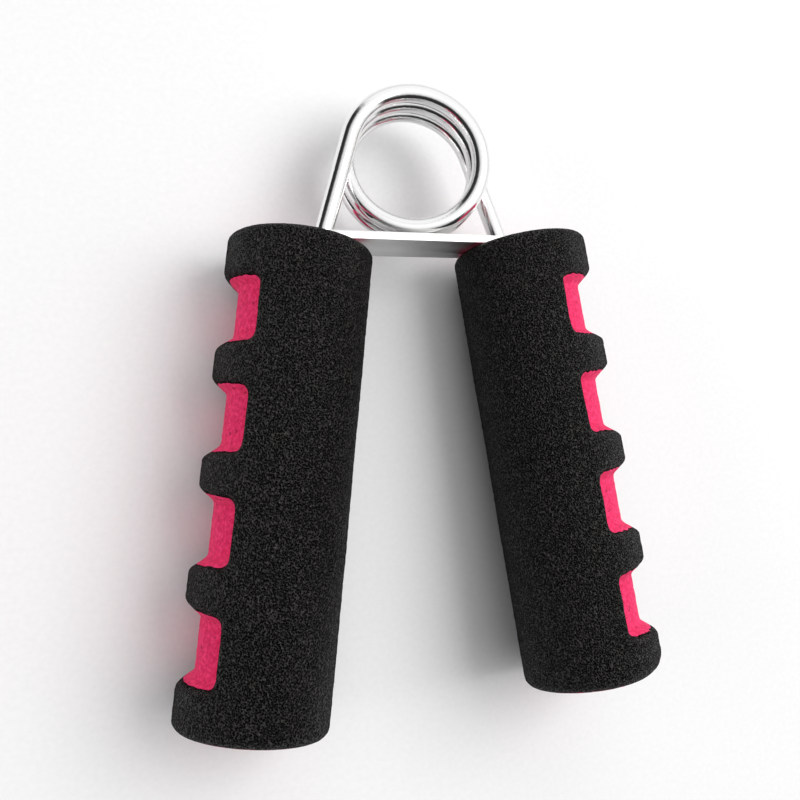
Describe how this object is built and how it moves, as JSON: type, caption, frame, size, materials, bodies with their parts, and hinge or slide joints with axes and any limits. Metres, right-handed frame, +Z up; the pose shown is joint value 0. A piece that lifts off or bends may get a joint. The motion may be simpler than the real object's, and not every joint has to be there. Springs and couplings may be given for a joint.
{
  "type": "hand grip strengthener",
  "caption": "Hand exerciser with two foam grips with finger grooves on the bent legs of a coiled steel torsion spring, held at rest by a slotted stop bracket.",
  "frame": {"origin": "middle of the bounding box's underside, on the surface the tool lies on", "axes": "+Z up; +Y from the grips' lower ends towards the coil; +X from the left grip to the right grip, seen from above with the coil at the top"},
  "size_m": [0.109, 0.1419, 0.0364],
  "materials": {
    "spring_wire": "bright plated spring wire",
    "bracket_steel": "bright plated strip",
    "core_plastic": "moulded, satin",
    "pink_foam": "fine closed-cell foam, matt",
    "black_foam": "pebbled foam, matt"
  },
  "bodies": {
    "right_grip": {"spring_coil": "spring_wire", "spring_right_leg": "spring_wire", "right_core": "core_plastic", "right_inner_foam": "pink_foam", "right_outer_foam": "black_foam"},
    "left_grip": {"spring_left_leg": "spring_wire", "left_core": "core_plastic", "left_inner_foam": "pink_foam", "left_outer_foam": "black_foam"},
    "bracket": {"stop_bracket": "bracket_steel"}
  },
  "joints": [
    {"name": "squeeze", "type": "hinge", "parent": "right_grip", "child": "left_grip", "pos_m": [0.00032, 0.05315, 0.01519], "axis": [-0.2091, 0.0257, 0.9775], "range_deg": [0, 22.4], "stiffness_Nm_per_rad": 11, "springref_deg": -11.46, "deforming": ["spring_coil"]},
    {"name": "bracket_swing", "type": "hinge", "parent": "right_grip", "child": "bracket", "pos_m": [0.00032, 0.05315, 0.01519], "axis": [-0.2091, 0.0257, 0.9775], "range_deg": [0, 11.2]}
  ],
  "couplings": [
    {"joint": "bracket_swing", "follows": "squeeze", "ratio": 0.5}
  ]
}
